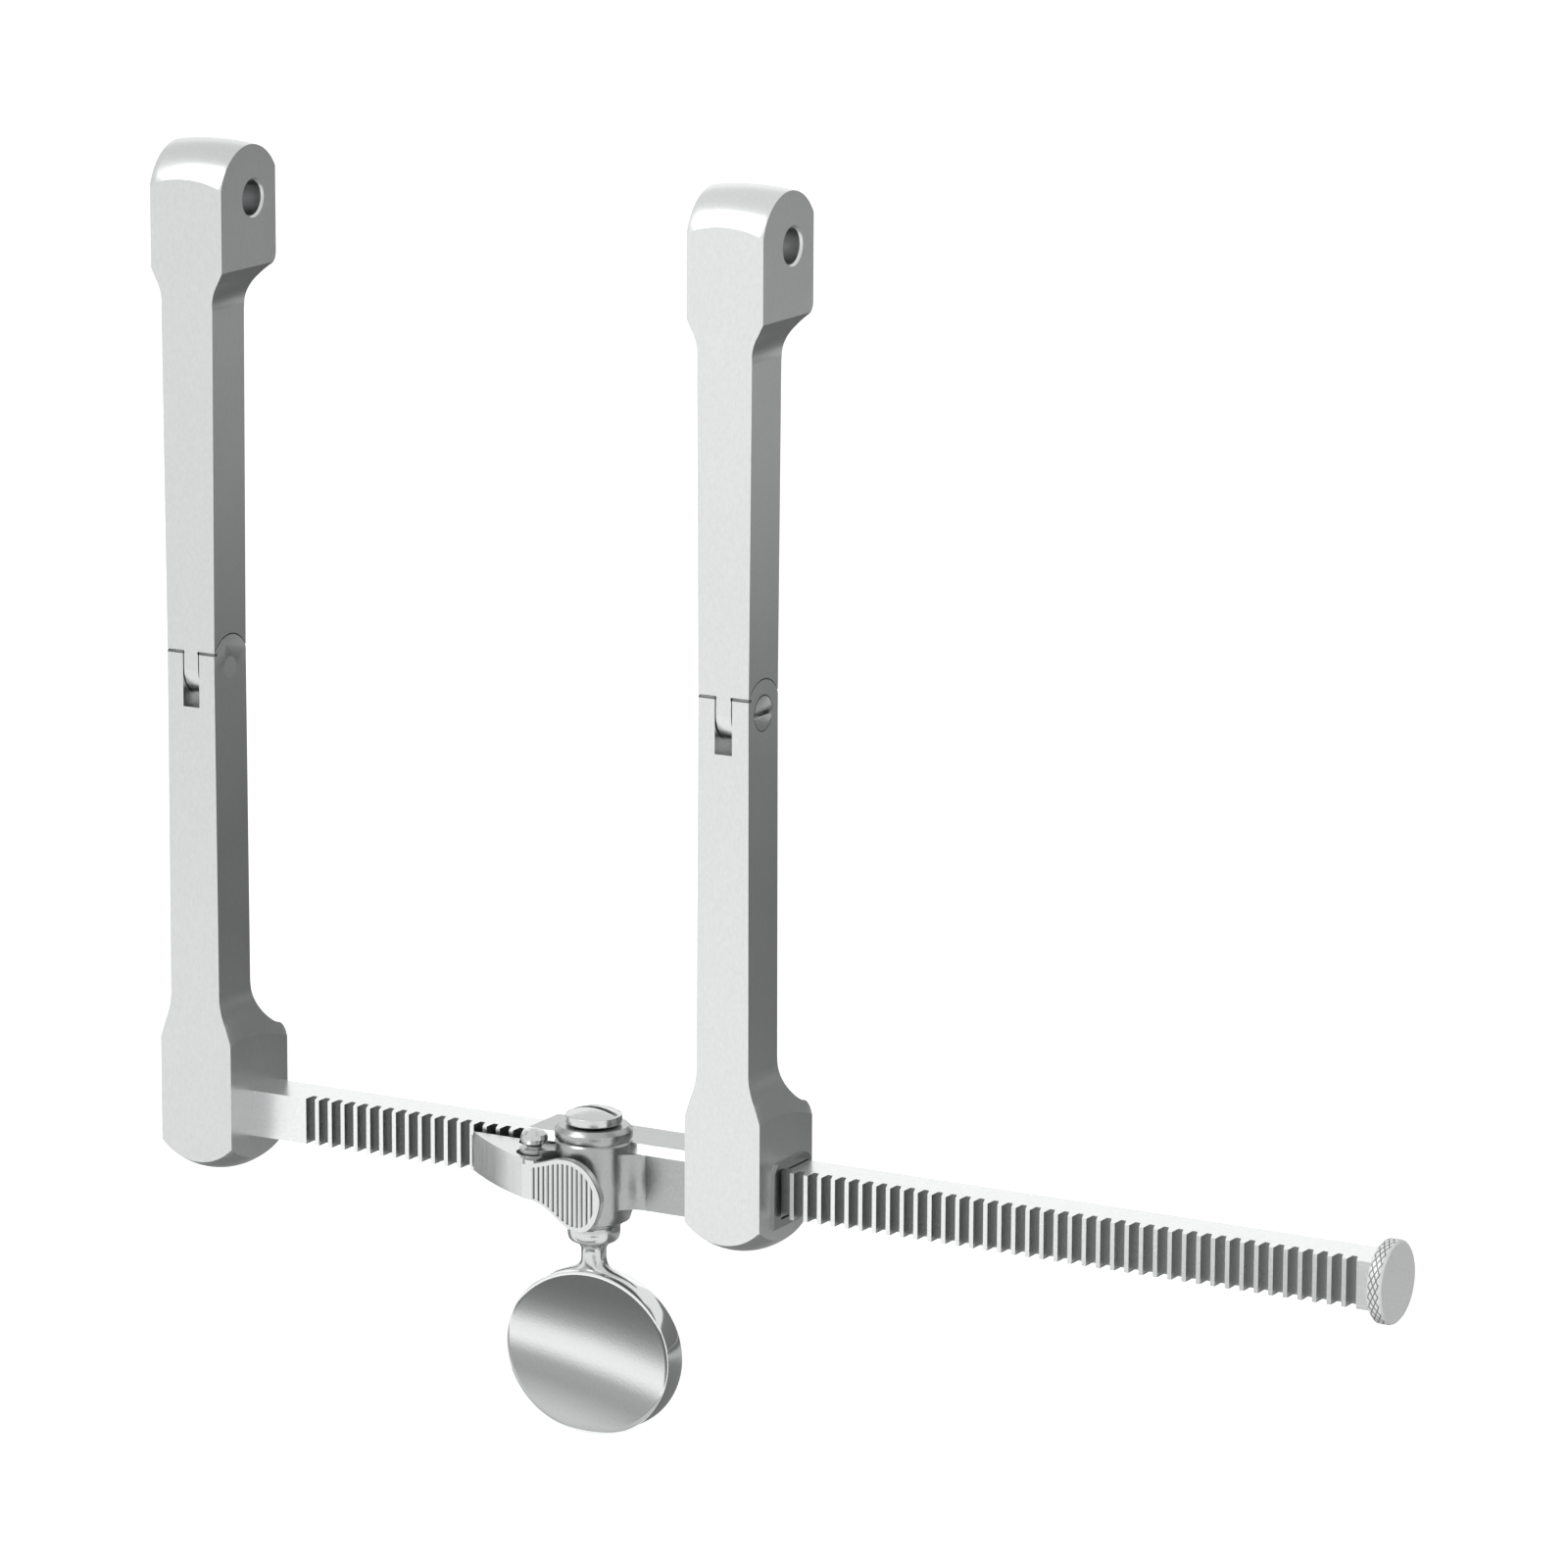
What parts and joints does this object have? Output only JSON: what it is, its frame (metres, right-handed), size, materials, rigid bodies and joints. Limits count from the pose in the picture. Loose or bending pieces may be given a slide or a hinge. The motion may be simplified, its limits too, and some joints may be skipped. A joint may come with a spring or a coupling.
{
  "type": "self retaining retractor",
  "caption": "Rack and pinion retractor frame of steel: two hinged arms with blade sockets, one fixed to a toothed rack, one on a sliding sleeve with thumb key and pawl.",
  "frame": {"origin": "centre of the bounding box, at the level of the lowest edge of the thumb key", "axes": "+X along the rack from the fixed arm to the end knob, +Z along the arms from the rack to the blade sockets, +Y from the toothed front to the plain back"},
  "size_m": [0.1768, 0.0184, 0.1653],
  "materials": {
    "satin_steel": "satin ground stainless steel",
    "polished_steel": "polished stainless steel",
    "spring_steel": "bright drawn spring wire"
  },
  "bodies": {
    "frame": {"rack_bar": "satin_steel", "rack_dowel": "satin_steel", "fixed_arm_lower": "satin_steel", "fixed_hinge_rivet": "satin_steel"},
    "fixed_arm_tip": {"fixed_arm_upper": "satin_steel", "fixed_socket_ring": "spring_steel"},
    "slider": {"rack_sleeve": "satin_steel", "sleeve_dowel": "satin_steel", "sliding_arm_lower": "satin_steel", "sliding_hinge_screw": "polished_steel", "pawl_screw": "polished_steel", "pawl_spring": "spring_steel"},
    "sliding_arm_tip": {"sliding_arm_upper": "satin_steel", "sliding_socket_ring": "spring_steel"},
    "pinion": {"pinion_shaft": "satin_steel", "thumb_key": "polished_steel", "cap_screw": "polished_steel"},
    "pawl": {"pawl_lever": "satin_steel"},
    "knob": {"end_knob": "polished_steel", "knob_stud": "satin_steel"}
  },
  "joints": [
    {"name": "fixed_arm_hinge", "type": "hinge", "parent": "frame", "child": "fixed_arm_tip", "pos_m": [-0.08295, -0.00111, 0.096], "axis": [1, 0, 0], "range_deg": [-60, 60]},
    {"name": "arm_slide", "type": "slide", "parent": "frame", "child": "slider", "axis": [1, 0, 0], "range_m": [-0.026, 0.082]},
    {"name": "sliding_arm_hinge", "type": "hinge", "parent": "slider", "child": "sliding_arm_tip", "pos_m": [-0.00265, -0.00111, 0.0985], "axis": [1, 0, 0], "range_deg": [-60, 60]},
    {"name": "pinion_turn", "type": "hinge", "parent": "slider", "child": "pinion", "pos_m": [-0.02365, -0.00153, 0.0352], "axis": [0, 0, 1], "continuous": true},
    {"name": "pawl_pivot", "type": "hinge", "parent": "slider", "child": "pawl", "pos_m": [-0.03045, -0.00521, 0.0352], "axis": [0, 0, 1], "range_deg": [-4.5, 6], "stiffness_Nm_per_rad": 0.02, "springref_deg": -6.88, "deforming": ["pawl_spring"]},
    {"name": "knob_turn", "type": "hinge", "parent": "frame", "child": "knob", "pos_m": [0.08625, 0.0038, 0.0352], "axis": [1, 0, 0], "continuous": true}
  ],
  "couplings": [
    {"joint": "pinion_turn", "follows": "arm_slide", "rad_per_m": 392.7}
  ]
}
